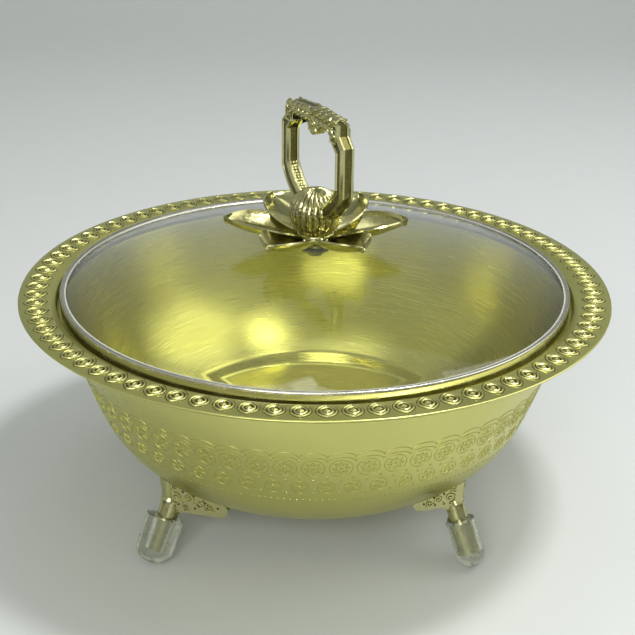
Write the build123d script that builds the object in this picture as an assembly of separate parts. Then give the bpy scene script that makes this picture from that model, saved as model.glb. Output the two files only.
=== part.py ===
from build123d import *
import os
from math import cos, radians, sin, sqrt, tan

# Chafing dish: a footed double-walled bowl, a lift-out food pan, and a glass lid
# with a cast handle.
# Millimetres, +Z up. The origin is on the floor, on the vertical axis of the bowl.
# The front of the dish faces -Y.

# ---- Outer bowl: one spun sheet with a flat flange and a recessed ledge ----
RIM_HEIGHT = 138.0         # floor to the flat top of the flange
BOWL_DEPTH = 110.0         # flange top to the underside of the bowl floor
BOWL_WALL = 1.2
MOUTH_RADIUS = 152.6       # inside of the recess that takes the pan rim and the lid
FLANGE_WIDTH = 21.4
FLANGE_SLOPE_WIDTH = 4.9   # plain strip that slopes down into the mouth
FLANGE_SLOPE_DROP = 2.4
FLANGE_LIP = 2.0           # height of the turned-down outer edge
LEDGE_WIDTH = 4.4
LEDGE_DEPTH = 8.0          # flange top down to the ledge
BOWL_FLARE = 79.2          # radius gained from the flat floor to the ledge
BOWL_ARC_RADIUS = 65.0     # rounded lower wall
BOWL_ARC_ANGLE = 69.0

# ---- Food pan: hangs by its rim on the ledge ----
PAN_WALL = 1.2
PAN_RIM_GAP = 0.8          # between the pan rim and the mouth
PAN_WALL_GAP = 1.0         # between the pan wall and the inner edge of the ledge
WATER_GAP = 9.0            # between the two floors
PAN_FLARE = 56.0           # radius gained from the foot of the wall to the rim
PAN_ARC_RADIUS = 90.0
PAN_ARC_ANGLE = 41.0
PAN_START_ANGLE = 27.0     # slope of the wall where it leaves the floor step
PAN_STEP_HEIGHT = 7.8      # raised step round the pan floor
PAN_STEP_WIDTH = 3.0

# ---- Lid: glass dome in a rolled steel band with a silicone seal ----
LID_GAP = 2.2              # between the band and the mouth
BAND_WALL = 0.8
BAND_HEIGHT = 9.5          # from the pan rim to the top of the band
BAND_WIDTH = 4.1           # top lip
BAND_LIP = 0.6
BAND_FOOT = 1.8            # underside of the seal channel above the pan rim
SEAL_WALL = 0.9
GLASS_THICKNESS = 4.0
GLASS_RISE = 23.6
GLASS_EDGE_DROP = 1.9      # top of the glass edge below the top of the band
GLASS_HOLE_RADIUS = 4.2

# ---- Handle stack on the lid ----
GASKET_RADIUS = 9.0
GASKET_THICKNESS = 1.0
BASE_RADIUS = 11.0
BASE_THICKNESS = 1.8
BASE_LOBES = 8
BASE_LOBE_RADIUS = 2.6
PETALS = 6
PETAL_LENGTH = 54.0        # handle axis to petal tip
PETAL_WIDTH = 28.0
PETAL_RISE = 9.0
PETAL_THICKNESS = 1.6
FLOWER_HUB_RADIUS = 12.0
BALL_RADIUS = 15.0
BALL_FLAT = 0.3            # the sphere is cut this much flat where it stands
COLLAR_RADIUS = 9.6
COLLAR_TUBE = 1.7

LOOP_TURN = 62.0           # loop plane, turned from the dish's left-right plane
LOOP_THICKNESS = 8.5
LOOP_BAR = 8.6             # width of the bars in the plane of the loop
LOOP_HALF_WIDTH = 37.3     # axis to the outside of a bar
LOOP_LEG_BOTTOM = 18.8     # heights above the centre of the ball
LOOP_LEG_TOP = 47.3
SHOULDER_STEP = 5.8
BLOCK_HEIGHT = 6.5
ARCH_RISE = 3.8
LOOP_CHAMFER = 1.8
PENDANT_RADIUS = 6.5
PENDANT_DROP = 10.4        # top of the arch to the centre of the pendant
ARCH_HAUNCH = 0.6          # share of the half width where the arch turns over
ARCH_HAUNCH_DROP = 1.0     # height below the crown there
STUB_REACH = 6.0           # how near the stubs come to the axis inside the ball
STUB_BEND = 0.68           # share of the half width where a stub bends
STUB_BEND_OUTER = 5.2      # heights above the ball centre at that bend
STUB_BEND_INNER = 12.4

# ---- Fasteners ----
SCREW_RADIUS = 2.5
SCREW_FIT = 0.05
SCREW_HEAD_RADIUS = 4.6
SCREW_HEAD_HEIGHT = 2.8
SCREW_DRIVE_WIDTH = 1.0    # width of each arm of the cross recess
SCREW_DRIVE_LENGTH = 5.0
SCREW_DRIVE_DEPTH = 1.5
CLEARANCE_HOLE = 0.3       # radial, in the pieces that a screw passes through
WASHER_RADIUS = 6.5
WASHER_THICKNESS = 1.0
HANDLE_SCREW_REACH = 10.0  # thread inside the ball
LEG_SCREW_REACH = 7.0      # thread inside the leg boss
HOLE_END = 1.0             # blind holes run this much deeper than their screw

# ---- Legs ----
LEG_NAMES = ("front_right", "back_right", "back_left", "front_left")
LEG_FIRST_ANGLE = -45.0
LEG_GAP = 0.15             # between the casting and the bowl
LEG_RIDGE_OUT = 49.8       # edge of the flat bowl floor to the ridge where the wings meet
LEG_TOP_RISE = 24.0        # heights above the underside of the bowl floor
WING_LENGTHS = (37.5, 28.5)
WING_SWEEP = 35.0          # wings lie back from the tangent by this angle
WING_THICKNESS = 4.0
WING_RISES = (1.6, 6.5)    # lower edge of each wing near the stem
WING_DROOP = 0.5           # its rounded tip hangs this much lower
WING_TIP_RADIUS = 4.2
CROTCH_DROP = 4.0          # lowest edge of the wings below the bowl floor
CROTCH_LENGTH = 7.0        # ridge to the edge of the stem, along a wing
CROTCH_WIDTH = 8.0         # rounded corner between the stem and the wing
BOSS_RADIUS = 5.5
BOSS_LENGTH = 9.5
BOSS_ANGLE = 52.0          # boss axis below the horizontal, square to the bowl wall
STEM_TOP_RADIUS = 5.6
STEM_TIP_RADIUS = 4.4
SHORT_STEM = 29.0          # stem that holds the bowl floor at the low clearance
LOW_CLEARANCE = 28.0
SPLAY = 27.0               # stem and foot cap, from the vertical

# ---- Foot caps: clear slip-on sleeves ----
FOOT_OUT = 8.0             # ridge to the point on the floor, at the low clearance
CAP_WIDTH = 22.0
CAP_DEPTH = 17.0
CAP_STRAIGHT = 19.0        # straight part above the rounded end
CAP_FLAT = 0.3             # the soft end is pressed flat by this much
CAP_FIT = 0.2
CAP_GAP = 0.5              # between the top of a cap and the casting
CAP_TURNS = (45, 90, 0, 45)

# ---- Levels and radii that follow ----
FLANGE_RADIUS = MOUTH_RADIUS + FLANGE_WIDTH
LEDGE_TOP = RIM_HEIGHT - LEDGE_DEPTH
LEDGE_INNER = MOUTH_RADIUS - LEDGE_WIDTH
BOWL_BOTTOM = RIM_HEIGHT - BOWL_DEPTH
BOWL_FLOOR_RADIUS = LEDGE_INNER + BOWL_WALL - BOWL_FLARE
LEG_RIDGE_RADIUS = BOWL_FLOOR_RADIUS + LEG_RIDGE_OUT
LEG_TOP = BOWL_BOTTOM + LEG_TOP_RISE
CROTCH_HEIGHT = BOWL_BOTTOM - CROTCH_DROP
RAISED = BOWL_BOTTOM - LOW_CLEARANCE
STEM_LENGTH = SHORT_STEM + RAISED / cos(radians(SPLAY))
FOOT_RADIUS = LEG_RIDGE_RADIUS + FOOT_OUT + RAISED * tan(radians(SPLAY))
PAN_RIM_TOP = LEDGE_TOP + PAN_WALL
PAN_RIM_RADIUS = MOUTH_RADIUS - PAN_RIM_GAP
PAN_MOUTH_RADIUS = LEDGE_INNER - PAN_WALL_GAP - PAN_WALL
PAN_FLOOR = BOWL_BOTTOM + BOWL_WALL + WATER_GAP + PAN_WALL
BAND_RADIUS = MOUTH_RADIUS - LID_GAP
BAND_TOP = PAN_RIM_TOP + BAND_HEIGHT
CHANNEL_FLOOR = PAN_RIM_TOP + BAND_FOOT + BAND_LIP
GLASS_RADIUS = BAND_RADIUS - BAND_WALL - SEAL_WALL
GLASS_EDGE = BAND_TOP - GLASS_EDGE_DROP
GLASS_TOP = GLASS_EDGE + GLASS_RISE
GLASS_SPHERE = (GLASS_RADIUS ** 2 + GLASS_RISE ** 2) / (2 * GLASS_RISE)
BASE_BOTTOM = GLASS_TOP + GASKET_THICKNESS
FLOWER_BOTTOM = BASE_BOTTOM + BASE_THICKNESS
BALL_BOTTOM = FLOWER_BOTTOM + PETAL_THICKNESS
BALL_CENTRE = BALL_BOTTOM + BALL_RADIUS - BALL_FLAT
CLEAR_RADIUS = SCREW_RADIUS + CLEARANCE_HOLE


def upright(face):
    """Sketch (radius, height) turned into a solid round the dish axis."""
    return revolve(Plane.XZ * face, Axis.Z)


def wall_edges(start, slope, radius, angle, end):
    """Rounded lower wall and the gently curved upper wall that carries on from it."""
    lower = JernArc(start, (cos(radians(slope)), sin(radians(slope))), radius, angle)
    upper = TangentArc(lower @ 1, end, tangent=lower % 1)
    return lower, upper


def bowl_shell():
    out_start = (BOWL_FLOOR_RADIUS, BOWL_BOTTOM)
    out_end = (LEDGE_INNER + BOWL_WALL, LEDGE_TOP - BOWL_WALL)
    in_start = (BOWL_FLOOR_RADIUS, BOWL_BOTTOM + BOWL_WALL)
    in_end = (LEDGE_INNER, LEDGE_TOP)
    outside = wall_edges(out_start, 0, BOWL_ARC_RADIUS, BOWL_ARC_ANGLE, out_end)
    inside = wall_edges(in_start, 0, BOWL_ARC_RADIUS - BOWL_WALL, BOWL_ARC_ANGLE, in_end)
    slope_foot = RIM_HEIGHT - FLANGE_SLOPE_DROP
    under = RIM_HEIGHT - BOWL_WALL
    neck = MOUTH_RADIUS + BOWL_WALL
    crest = MOUTH_RADIUS + FLANGE_SLOPE_WIDTH
    upper = Polyline(
        out_end,
        (neck, LEDGE_TOP - BOWL_WALL),
        (neck, slope_foot - BOWL_WALL),
        (crest, under),
        (FLANGE_RADIUS - 2 * BOWL_WALL, under),
        (FLANGE_RADIUS - BOWL_WALL, under - BOWL_WALL / 2),
        (FLANGE_RADIUS - BOWL_WALL, RIM_HEIGHT - FLANGE_LIP),
        (FLANGE_RADIUS, RIM_HEIGHT - FLANGE_LIP),
        (FLANGE_RADIUS, RIM_HEIGHT - BOWL_WALL),
        (FLANGE_RADIUS - BOWL_WALL, RIM_HEIGHT),
        (crest, RIM_HEIGHT),
        (MOUTH_RADIUS, slope_foot),
        (MOUTH_RADIUS, LEDGE_TOP),
        in_end,
    )
    floor = Polyline(in_start, (0, BOWL_BOTTOM + BOWL_WALL), (0, BOWL_BOTTOM), out_start)
    return upright(make_face([*outside, upper, *inside, floor]))


def bowl_envelope(gap):
    """Everything inside the outer wall of the bowl, grown by a gap."""
    start = (BOWL_FLOOR_RADIUS, BOWL_BOTTOM - gap)
    end = (LEDGE_INNER + BOWL_WALL + gap, LEDGE_TOP - BOWL_WALL)
    wall = wall_edges(start, 0, BOWL_ARC_RADIUS + gap, BOWL_ARC_ANGLE, end)
    close = Polyline(end, (0, LEDGE_TOP - BOWL_WALL), (0, BOWL_BOTTOM - gap), start)
    return upright(make_face([*wall, close]))


def boss_plane():
    """Plane on the outside of the bowl wall where a leg is screwed on, facing out."""
    tilt = radians(BOSS_ANGLE)
    radius = BOWL_FLOOR_RADIUS + BOWL_ARC_RADIUS * cos(tilt)
    height = BOWL_BOTTOM + BOWL_ARC_RADIUS * (1 - sin(tilt))
    return Plane((radius, 0, height), x_dir=(0, 1, 0), z_dir=(cos(tilt), 0, -sin(tilt)))


def at_each_leg(shape):
    """Copies of a shape made at the first leg's plane, turned to all the legs."""
    return [Rot(0, 0, leg_angle(index)) * shape for index in range(len(LEG_NAMES))]


def outer_bowl():
    bowl = bowl_shell()
    for hole in at_each_leg(boss_plane() * Cylinder(CLEAR_RADIUS, 6 * BOWL_WALL)):
        bowl -= hole
    return bowl


def food_pan():
    foot = PAN_MOUTH_RADIUS - PAN_FLARE
    slope = radians(PAN_START_ANGLE)
    in_start = (foot, PAN_FLOOR + PAN_STEP_HEIGHT)
    out_start = (foot + PAN_WALL * sin(slope), in_start[1] - PAN_WALL * cos(slope))
    in_end = (PAN_MOUTH_RADIUS, PAN_RIM_TOP)
    out_end = (PAN_MOUTH_RADIUS + PAN_WALL, LEDGE_TOP)
    inside = wall_edges(in_start, PAN_START_ANGLE, PAN_ARC_RADIUS, PAN_ARC_ANGLE, in_end)
    outside = wall_edges(out_start, PAN_START_ANGLE, PAN_ARC_RADIUS + PAN_WALL, PAN_ARC_ANGLE,
                         out_end)
    rim = Polyline(in_end, (PAN_RIM_RADIUS, PAN_RIM_TOP), (PAN_RIM_RADIUS, LEDGE_TOP), out_end)
    floor = Polyline(
        in_start,
        (foot - PAN_STEP_WIDTH, PAN_FLOOR),
        (0, PAN_FLOOR),
        (0, PAN_FLOOR - PAN_WALL),
        (foot - PAN_STEP_WIDTH + PAN_WALL * sin(slope), PAN_FLOOR - PAN_WALL),
        out_start,
    )
    return upright(make_face([*inside, rim, *outside, floor]))


# ---- Lid ----
def glass_height(radius, sphere_radius):
    """Height of a sphere about the centre of the dome's curvature."""
    return GLASS_TOP - GLASS_SPHERE + sqrt(sphere_radius ** 2 - radius ** 2)


def dome_arc(sphere_radius):
    points = [(r, glass_height(r, sphere_radius))
              for r in (GLASS_HOLE_RADIUS, GLASS_RADIUS / 2, GLASS_RADIUS)]
    return ThreePointArc(*points)


def lid_glass():
    top = dome_arc(GLASS_SPHERE)
    bottom = dome_arc(GLASS_SPHERE - GLASS_THICKNESS)
    hole = Line(top @ 0, bottom @ 0)
    edge = Line(top @ 1, bottom @ 1)
    return upright(make_face([top, edge, bottom, hole]))


def ring(inner, outer, bottom, top):
    return Pos(0, 0, bottom) * extrude(Circle(outer) - Circle(inner), top - bottom)


def lid_seal():
    inner = BAND_RADIUS - BAND_WIDTH + BAND_WALL / 2
    outer = BAND_RADIUS - BAND_WALL
    block = ring(inner, outer, CHANNEL_FLOOR, BAND_TOP - BAND_LIP)
    return block - lid_glass()


def lid_band():
    inner = BAND_RADIUS - BAND_WIDTH
    wall = BAND_RADIUS - BAND_WALL
    bulge = (BAND_RADIUS, (PAN_RIM_TOP + BAND_TOP) / 2)
    corner = BAND_RADIUS - BAND_WALL / 2
    outside = ThreePointArc((corner, PAN_RIM_TOP), bulge, (corner, BAND_TOP))
    section = Polyline(
        (corner, BAND_TOP),
        (inner, BAND_TOP),
        (inner, BAND_TOP - BAND_LIP),
        (wall, BAND_TOP - BAND_LIP),
        (wall, CHANNEL_FLOOR),
        (inner, CHANNEL_FLOOR),
        (inner, CHANNEL_FLOOR - BAND_LIP),
        (wall, PAN_RIM_TOP),
        (corner, PAN_RIM_TOP),
    )
    return upright(make_face([outside, section]))


# ---- Handle ----
def handle_top_gasket():
    return ring(GLASS_HOLE_RADIUS, GASKET_RADIUS, GLASS_TOP, BASE_BOTTOM)


def glass_underside():
    return glass_height(0, GLASS_SPHERE - GLASS_THICKNESS)


def handle_bottom_gasket():
    """Soft ring that follows the curve of the glass on its upper face."""
    top = glass_underside()
    block = ring(CLEAR_RADIUS, GASKET_RADIUS, top - 2 * GASKET_THICKNESS, top)
    return block - lid_glass()


def handle_washer():
    top = glass_underside() - 2 * GASKET_THICKNESS
    return ring(CLEAR_RADIUS, WASHER_RADIUS, top - WASHER_THICKNESS, top)


def screw(length):
    """Pan-head screw along +Z, with the underside of its head at the origin."""
    shank = Cylinder(SCREW_RADIUS, length, align=(Align.CENTER, Align.CENTER, Align.MIN))
    head = Cylinder(SCREW_HEAD_RADIUS, SCREW_HEAD_HEIGHT,
                    align=(Align.CENTER, Align.CENTER, Align.MAX))
    head = fillet(head.edges().sort_by(Axis.Z)[0], SCREW_HEAD_HEIGHT / 2)
    cross = Rectangle(SCREW_DRIVE_LENGTH, SCREW_DRIVE_WIDTH)
    cross += Rectangle(SCREW_DRIVE_WIDTH, SCREW_DRIVE_LENGTH)
    recess = Pos(0, 0, -SCREW_HEAD_HEIGHT) * extrude(cross, SCREW_DRIVE_DEPTH)
    return head - recess + shank


def handle_screw():
    seat = glass_underside() - 2 * GASKET_THICKNESS - WASHER_THICKNESS
    return Pos(0, 0, seat) * screw(BALL_BOTTOM + HANDLE_SCREW_REACH - seat)


def handle_base():
    disc = Circle(BASE_RADIUS)
    for spot in PolarLocations(BASE_RADIUS, BASE_LOBES):
        disc += spot * Circle(BASE_LOBE_RADIUS)
    disc -= Circle(CLEAR_RADIUS)
    return Pos(0, 0, BASE_BOTTOM) * extrude(disc, BASE_THICKNESS)


def flower_curve(height):
    """Meridian of the petals: flat hub, then a hollow rise to the tips."""
    middle = (FLOWER_HUB_RADIUS + PETAL_LENGTH) / 2
    return ThreePointArc((FLOWER_HUB_RADIUS, height), (middle, height + PETAL_RISE / 4),
                         (PETAL_LENGTH, height + PETAL_RISE))


def petal_outline():
    root = (0, FLOWER_HUB_RADIUS / 2)
    widest = (PETAL_LENGTH / 2, PETAL_WIDTH / 2)
    side = ThreePointArc(root, widest, (PETAL_LENGTH, 0))
    other = mirror(side, Plane.XZ)
    return make_face([side, other, Line(root, (0, -FLOWER_HUB_RADIUS / 2))])


def handle_flower():
    low = flower_curve(FLOWER_BOTTOM)
    high = flower_curve(FLOWER_BOTTOM + PETAL_THICKNESS)
    hub_top = FLOWER_BOTTOM + PETAL_THICKNESS
    hub = Polyline(low @ 0, (CLEAR_RADIUS, FLOWER_BOTTOM), (CLEAR_RADIUS, hub_top), high @ 0)
    dish = upright(make_face([low, hub, high, Line(low @ 1, high @ 1)]))
    outline = Circle(FLOWER_HUB_RADIUS)
    for index in range(PETALS):
        outline += Rot(0, 0, index * 360 / PETALS) * petal_outline()
    return dish & (Pos(0, 0, FLOWER_BOTTOM) * extrude(outline, 2 * PETAL_RISE))


def loop_half():
    """Right half of the loop in its own plane, height measured from the ball centre."""
    outer = LOOP_HALF_WIDTH
    inner = outer - LOOP_BAR
    step = outer - SHOULDER_STEP
    inner_step = inner - SHOULDER_STEP
    shoulder = LOOP_LEG_TOP + SHOULDER_STEP
    block = shoulder + BLOCK_HEIGHT
    kink = LOOP_BAR / 2
    top = block + ARCH_RISE
    under = top - LOOP_BAR
    bars = Polyline(
        (outer, LOOP_LEG_BOTTOM),
        (outer, LOOP_LEG_TOP),
        (step, shoulder),
        (step, block),
    )
    inner_bars = Polyline(
        (inner_step, block - kink),
        (inner_step, shoulder - kink),
        (inner, LOOP_LEG_TOP - kink),
        (inner, LOOP_LEG_BOTTOM + kink),
    )
    arch = ThreePointArc((step, block), (ARCH_HAUNCH * step, top - ARCH_HAUNCH_DROP), (0, top))
    soffit = ThreePointArc((inner_step, block - kink),
                           (ARCH_HAUNCH * inner_step, under - ARCH_HAUNCH_DROP), (0, under))
    stub_out = ThreePointArc((outer, LOOP_LEG_BOTTOM), (STUB_BEND * outer, STUB_BEND_OUTER),
                             (STUB_REACH, -kink))
    stub_in = ThreePointArc((inner, LOOP_LEG_BOTTOM + kink), (STUB_BEND * inner, STUB_BEND_INNER),
                            (STUB_REACH, kink))
    ends = [Line((0, top), (0, under)), Line(stub_out @ 1, stub_in @ 1)]
    return make_face([bars, inner_bars, arch, soffit, stub_out, stub_in, *ends])


def handle_loop():
    half = loop_half()
    outline = half + mirror(half, Plane.YZ)
    loop = extrude(Plane.XZ * outline, LOOP_THICKNESS / 2, both=True)
    sides = loop.edges().group_by(Axis.Y)
    loop = chamfer(sides[0] + sides[-1], LOOP_CHAMFER)
    top = LOOP_LEG_TOP + SHOULDER_STEP + BLOCK_HEIGHT + ARCH_RISE
    pendant = Rot(90, 0, 0) * Cylinder(PENDANT_RADIUS, LOOP_THICKNESS - 2 * LOOP_CHAMFER)
    loop += Pos(0, 0, top - PENDANT_DROP) * pendant
    return Pos(0, 0, BALL_CENTRE) * Rot(0, 0, -LOOP_TURN) * loop


def handle_ball():
    ball = Pos(0, 0, BALL_CENTRE) * Sphere(BALL_RADIUS)
    ball += Pos(0, 0, BALL_BOTTOM + COLLAR_TUBE) * Torus(COLLAR_RADIUS, COLLAR_TUBE)
    below = Box(4 * BALL_RADIUS, 4 * BALL_RADIUS, BALL_RADIUS,
                align=(Align.CENTER, Align.CENTER, Align.MAX))
    ball -= Pos(0, 0, BALL_BOTTOM) * below
    bore = Cylinder(SCREW_RADIUS + SCREW_FIT, HANDLE_SCREW_REACH + HOLE_END,
                    align=(Align.CENTER, Align.CENTER, Align.MIN))
    ball = ball - Pos(0, 0, BALL_BOTTOM) * bore - handle_loop()
    return ball.solids().sort_by(SortBy.VOLUME)[-1]


# ---- Legs ----
def leg_angle(index):
    return LEG_FIRST_ANGLE + index * 360 / len(LEG_NAMES)


def wing(length, rise):
    """One wing of a leg, a plate that runs back from the ridge along the bowl."""
    tip = length - WING_TIP_RADIUS
    bottom = BOWL_BOTTOM + rise
    low = bottom - WING_DROOP
    lower = ThreePointArc((CROTCH_LENGTH, CROTCH_HEIGHT), (CROTCH_LENGTH + CROTCH_WIDTH / 3, low),
                          (CROTCH_LENGTH + CROTCH_WIDTH, bottom))
    nose = ThreePointArc((tip, low), (length, low + WING_TIP_RADIUS),
                         (tip, low + 2 * WING_TIP_RADIUS))
    edge = Polyline(nose @ 1, (tip, LEG_TOP), (0, LEG_TOP), (0, CROTCH_HEIGHT), lower @ 0)
    plate = make_face([lower, Line(lower @ 1, nose @ 0), nose, edge])
    back = radians(WING_SWEEP)
    along = Vector(-sin(back), cos(back), 0)
    outward = along.cross(Vector(0, 0, 1))
    face = Plane((LEG_RIDGE_RADIUS, 0, 0), x_dir=along, z_dir=outward)
    return extrude(face * plate, -WING_THICKNESS)


def cap_plane():
    """Frame of a foot cap: centre of its rounded end, +Z up the stem."""
    lean = radians(SPLAY)
    return Plane((FOOT_RADIUS, 0, cap_rest()), x_dir=(0, 1, 0), z_dir=(-sin(lean), 0, cos(lean)))


def cap_rest():
    """Height of the rounded end's centre above the floor it stands on."""
    return CAP_DEPTH / 2 - CAP_FLAT


def stem(gap):
    """Tapered stem of a leg in the cap frame, grown by a gap for the socket."""
    bottom = STEM_TIP_RADIUS + gap
    top = STEM_TOP_RADIUS + gap
    return Cone(bottom, top, STEM_LENGTH, align=(Align.CENTER, Align.CENTER, Align.MIN))


def cap_space():
    """Room for a cap on its stem, whichever way it is turned."""
    room = Cylinder(CAP_WIDTH / 2 + CAP_GAP, 2 * CAP_STRAIGHT + 2 * CAP_GAP)
    return cap_plane() * room


def leg_blank():
    """A leg on the +X side of the dish."""
    long_wing, short_wing = map(wing, WING_LENGTHS, WING_RISES)
    plate = long_wing + mirror(short_wing, Plane.XZ)
    ridge_post = Pos(LEG_RIDGE_RADIUS - WING_THICKNESS, 0, CROTCH_HEIGHT - 2) * Cylinder(
        WING_THICKNESS, LEG_TOP - CROTCH_HEIGHT + 2,
        align=(Align.CENTER, Align.CENTER, Align.MIN))
    boss = boss_plane() * Cylinder(BOSS_RADIUS, BOSS_LENGTH,
                                  align=(Align.CENTER, Align.CENTER, Align.MIN))
    body = plate + ridge_post + boss - cap_space()
    body += cap_plane() * stem(0)
    body -= bowl_envelope(LEG_GAP)
    depth = LEG_SCREW_REACH + HOLE_END
    bore = Cylinder(SCREW_RADIUS + SCREW_FIT, depth,
                    align=(Align.CENTER, Align.CENTER, Align.MIN))
    return body - boss_plane() * bore


def foot_cap_blank(turn):
    """A clear cap on the +X side, turned on its stem."""
    section = Ellipse(CAP_WIDTH / 2, CAP_DEPTH / 2)
    sleeve = extrude(section, CAP_STRAIGHT)
    dome = scale(Sphere(1), (CAP_WIDTH / 2, CAP_DEPTH / 2, CAP_DEPTH / 2))
    cap = Rot(0, 0, turn) * (sleeve + dome)
    floor = Box(4 * FOOT_RADIUS, 4 * FOOT_RADIUS, CAP_DEPTH,
                align=(Align.CENTER, Align.CENTER, Align.MAX))
    return cap_plane() * (cap - stem(CAP_FIT)) - floor


def leg_screws():
    seat = -BOWL_WALL - WASHER_THICKNESS
    fastener = Pos(0, 0, seat) * screw(LEG_SCREW_REACH - seat)
    return Compound(children=[copy.solid() for copy in at_each_leg(boss_plane() * fastener)])


def leg_seal_washers():
    """Soft rings inside the bowl, moulded to the curve of its wall."""
    block = ring(CLEAR_RADIUS, WASHER_RADIUS, -BOWL_WALL - WASHER_THICKNESS, -BOWL_WALL)
    washer = boss_plane() * block & bowl_envelope(-BOWL_WALL)
    return Compound(children=[copy.solid() for copy in at_each_leg(washer)])


def save(name, shape):
    export_step(shape, f"parts/{name}.step")


def main():
    os.makedirs("parts", exist_ok=True)
    save("outer_bowl", outer_bowl())
    save("food_pan", food_pan())
    save("lid_glass", lid_glass())
    save("lid_seal", lid_seal())
    save("lid_band", lid_band())
    save("handle_top_gasket", handle_top_gasket())
    save("handle_bottom_gasket", handle_bottom_gasket())
    save("handle_washer", handle_washer())
    save("handle_screw", handle_screw())
    save("handle_base", handle_base())
    save("handle_flower", handle_flower())
    save("handle_loop", handle_loop())
    save("handle_ball", handle_ball())
    blank = leg_blank()
    for index, name in enumerate(LEG_NAMES):
        place = Rot(0, 0, leg_angle(index))
        save(f"leg_{name}", place * blank)
        save(f"foot_cap_{name}", place * foot_cap_blank(CAP_TURNS[index]))
    save("leg_screws", leg_screws())
    save("leg_seal_washers", leg_seal_washers())


main()
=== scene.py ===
"""Footed chafing dish with a lotus and loop handle on its glass lid, dressed for the studio."""

import logging
import math
from dataclasses import dataclass, field
from enum import Enum
from typing import Callable

import bmesh
import bpy
from mathutils import Matrix, Vector, noise


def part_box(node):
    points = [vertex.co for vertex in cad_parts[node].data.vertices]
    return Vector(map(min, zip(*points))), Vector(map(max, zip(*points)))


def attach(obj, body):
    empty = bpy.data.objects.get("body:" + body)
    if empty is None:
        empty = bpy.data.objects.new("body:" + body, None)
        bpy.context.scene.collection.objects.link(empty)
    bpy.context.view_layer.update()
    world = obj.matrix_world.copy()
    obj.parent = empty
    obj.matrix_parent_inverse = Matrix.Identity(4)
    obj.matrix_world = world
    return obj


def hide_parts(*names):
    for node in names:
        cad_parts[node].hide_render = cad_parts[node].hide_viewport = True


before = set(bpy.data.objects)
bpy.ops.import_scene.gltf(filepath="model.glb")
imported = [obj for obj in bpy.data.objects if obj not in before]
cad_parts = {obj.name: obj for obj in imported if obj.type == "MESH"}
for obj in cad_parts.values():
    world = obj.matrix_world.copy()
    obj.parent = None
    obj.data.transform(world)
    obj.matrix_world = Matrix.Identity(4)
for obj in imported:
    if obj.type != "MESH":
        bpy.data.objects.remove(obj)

LOG = logging.getLogger("chafing_dish")
MM = 0.001
TURN = 2 * math.pi
WELD = 1e-6
SUNK = 0.05
GLASS_IOR = 1.5
Node = bpy.types.Node
Tree = bpy.types.NodeTree
Socket = bpy.types.NodeSocket
Mesh = bmesh.types.BMesh
Vert = bmesh.types.BMVert
Point = tuple[float, float]
Placer = Callable[[float, float, float], Vector]


class Body(Enum):
    """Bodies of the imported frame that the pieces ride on."""

    STAND = "stand_bowl"
    PAN = "food_pan"
    LID = "lid"


class Slot(Enum):
    """Material slots of the record."""

    SHEET = "plated_sheet"
    PAN = "brushed_pan"
    GLASS = "clear_glass"
    SILICONE = "silicone"
    BAND = "steel_band"
    ZINC = "zinc_steel"
    CASTING = "plated_casting"
    PLASTIC = "clear_plastic"


# ---------------------------------------------------------------- finishes


def linear(colour: str) -> tuple[float, float, float, float]:
    """Turn an sRGB hex colour into opaque linear RGBA.

    Args:
        colour: A colour such as "#E3DC9A".

    Returns:
        The four linear channels.
    """
    raw = [int(colour[i : i + 2], 16) / 255 for i in (1, 3, 5)]
    red, green, blue = (c / 12.92 if c <= 0.04045 else ((c + 0.055) / 1.055) ** 2.4 for c in raw)
    return red, green, blue, 1.0


def feed(node: Node, inputs: dict) -> None:
    """Set or link the inputs of a shader node.

    Args:
        node: The node.
        inputs: Socket name or index to a value, or to the output socket that feeds it.
    """
    for key, value in inputs.items():
        if isinstance(value, Socket):
            node.id_data.links.new(value, node.inputs[key])
        else:
            node.inputs[key].default_value = value


def add_node(tree: Tree, kind: str, inputs: dict | None = None, **settings) -> Node:
    """Add a shader node with its settings, values and links.

    Args:
        tree: Node tree that receives the node.
        kind: Blender's name of the node type.
        inputs: Socket name or index to a value, or to the output socket that feeds it.
        **settings: Properties of the node itself.

    Returns:
        The new node.
    """
    node = tree.nodes.new(kind)
    for key, value in settings.items():
        setattr(node, key, value)
    feed(node, inputs or {})
    return node


def compute(tree: Tree, operation: str, first: Socket, second: Socket | float) -> Socket:
    """Give the result of a sum or product in a node tree."""
    return add_node(tree, "ShaderNodeMath", {0: first, 1: second}, operation=operation).outputs["Value"]


def ramp(tree: Tree, value: Socket, ends: Point, results: Point = (0.0, 1.0)) -> Socket:
    """Stretch a value from one range to another.

    Args:
        tree: Node tree that receives the node.
        value: The value.
        ends: Range that it is read in.
        results: Range that comes out.

    Returns:
        The stretched value.
    """
    inputs = {"Value": value, "From Min": ends[0], "From Max": ends[1]}
    inputs |= {"To Min": results[0], "To Max": results[1]}
    return add_node(tree, "ShaderNodeMapRange", inputs).outputs["Result"]


@dataclass(frozen=True)
class Spots:
    """Soft patches: width in mm, lowest and highest roughness, and how broken their edges are."""

    size_mm: float
    low: float
    high: float
    detail: float = 3.0


@dataclass(frozen=True)
class Relief:
    """Fine bump: real depth in mm, share applied, and the grain of its own noise (0 follows the spots)."""

    depth_mm: float
    strength: float
    size_mm: float = 0.0
    detail: float = 3.0


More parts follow.
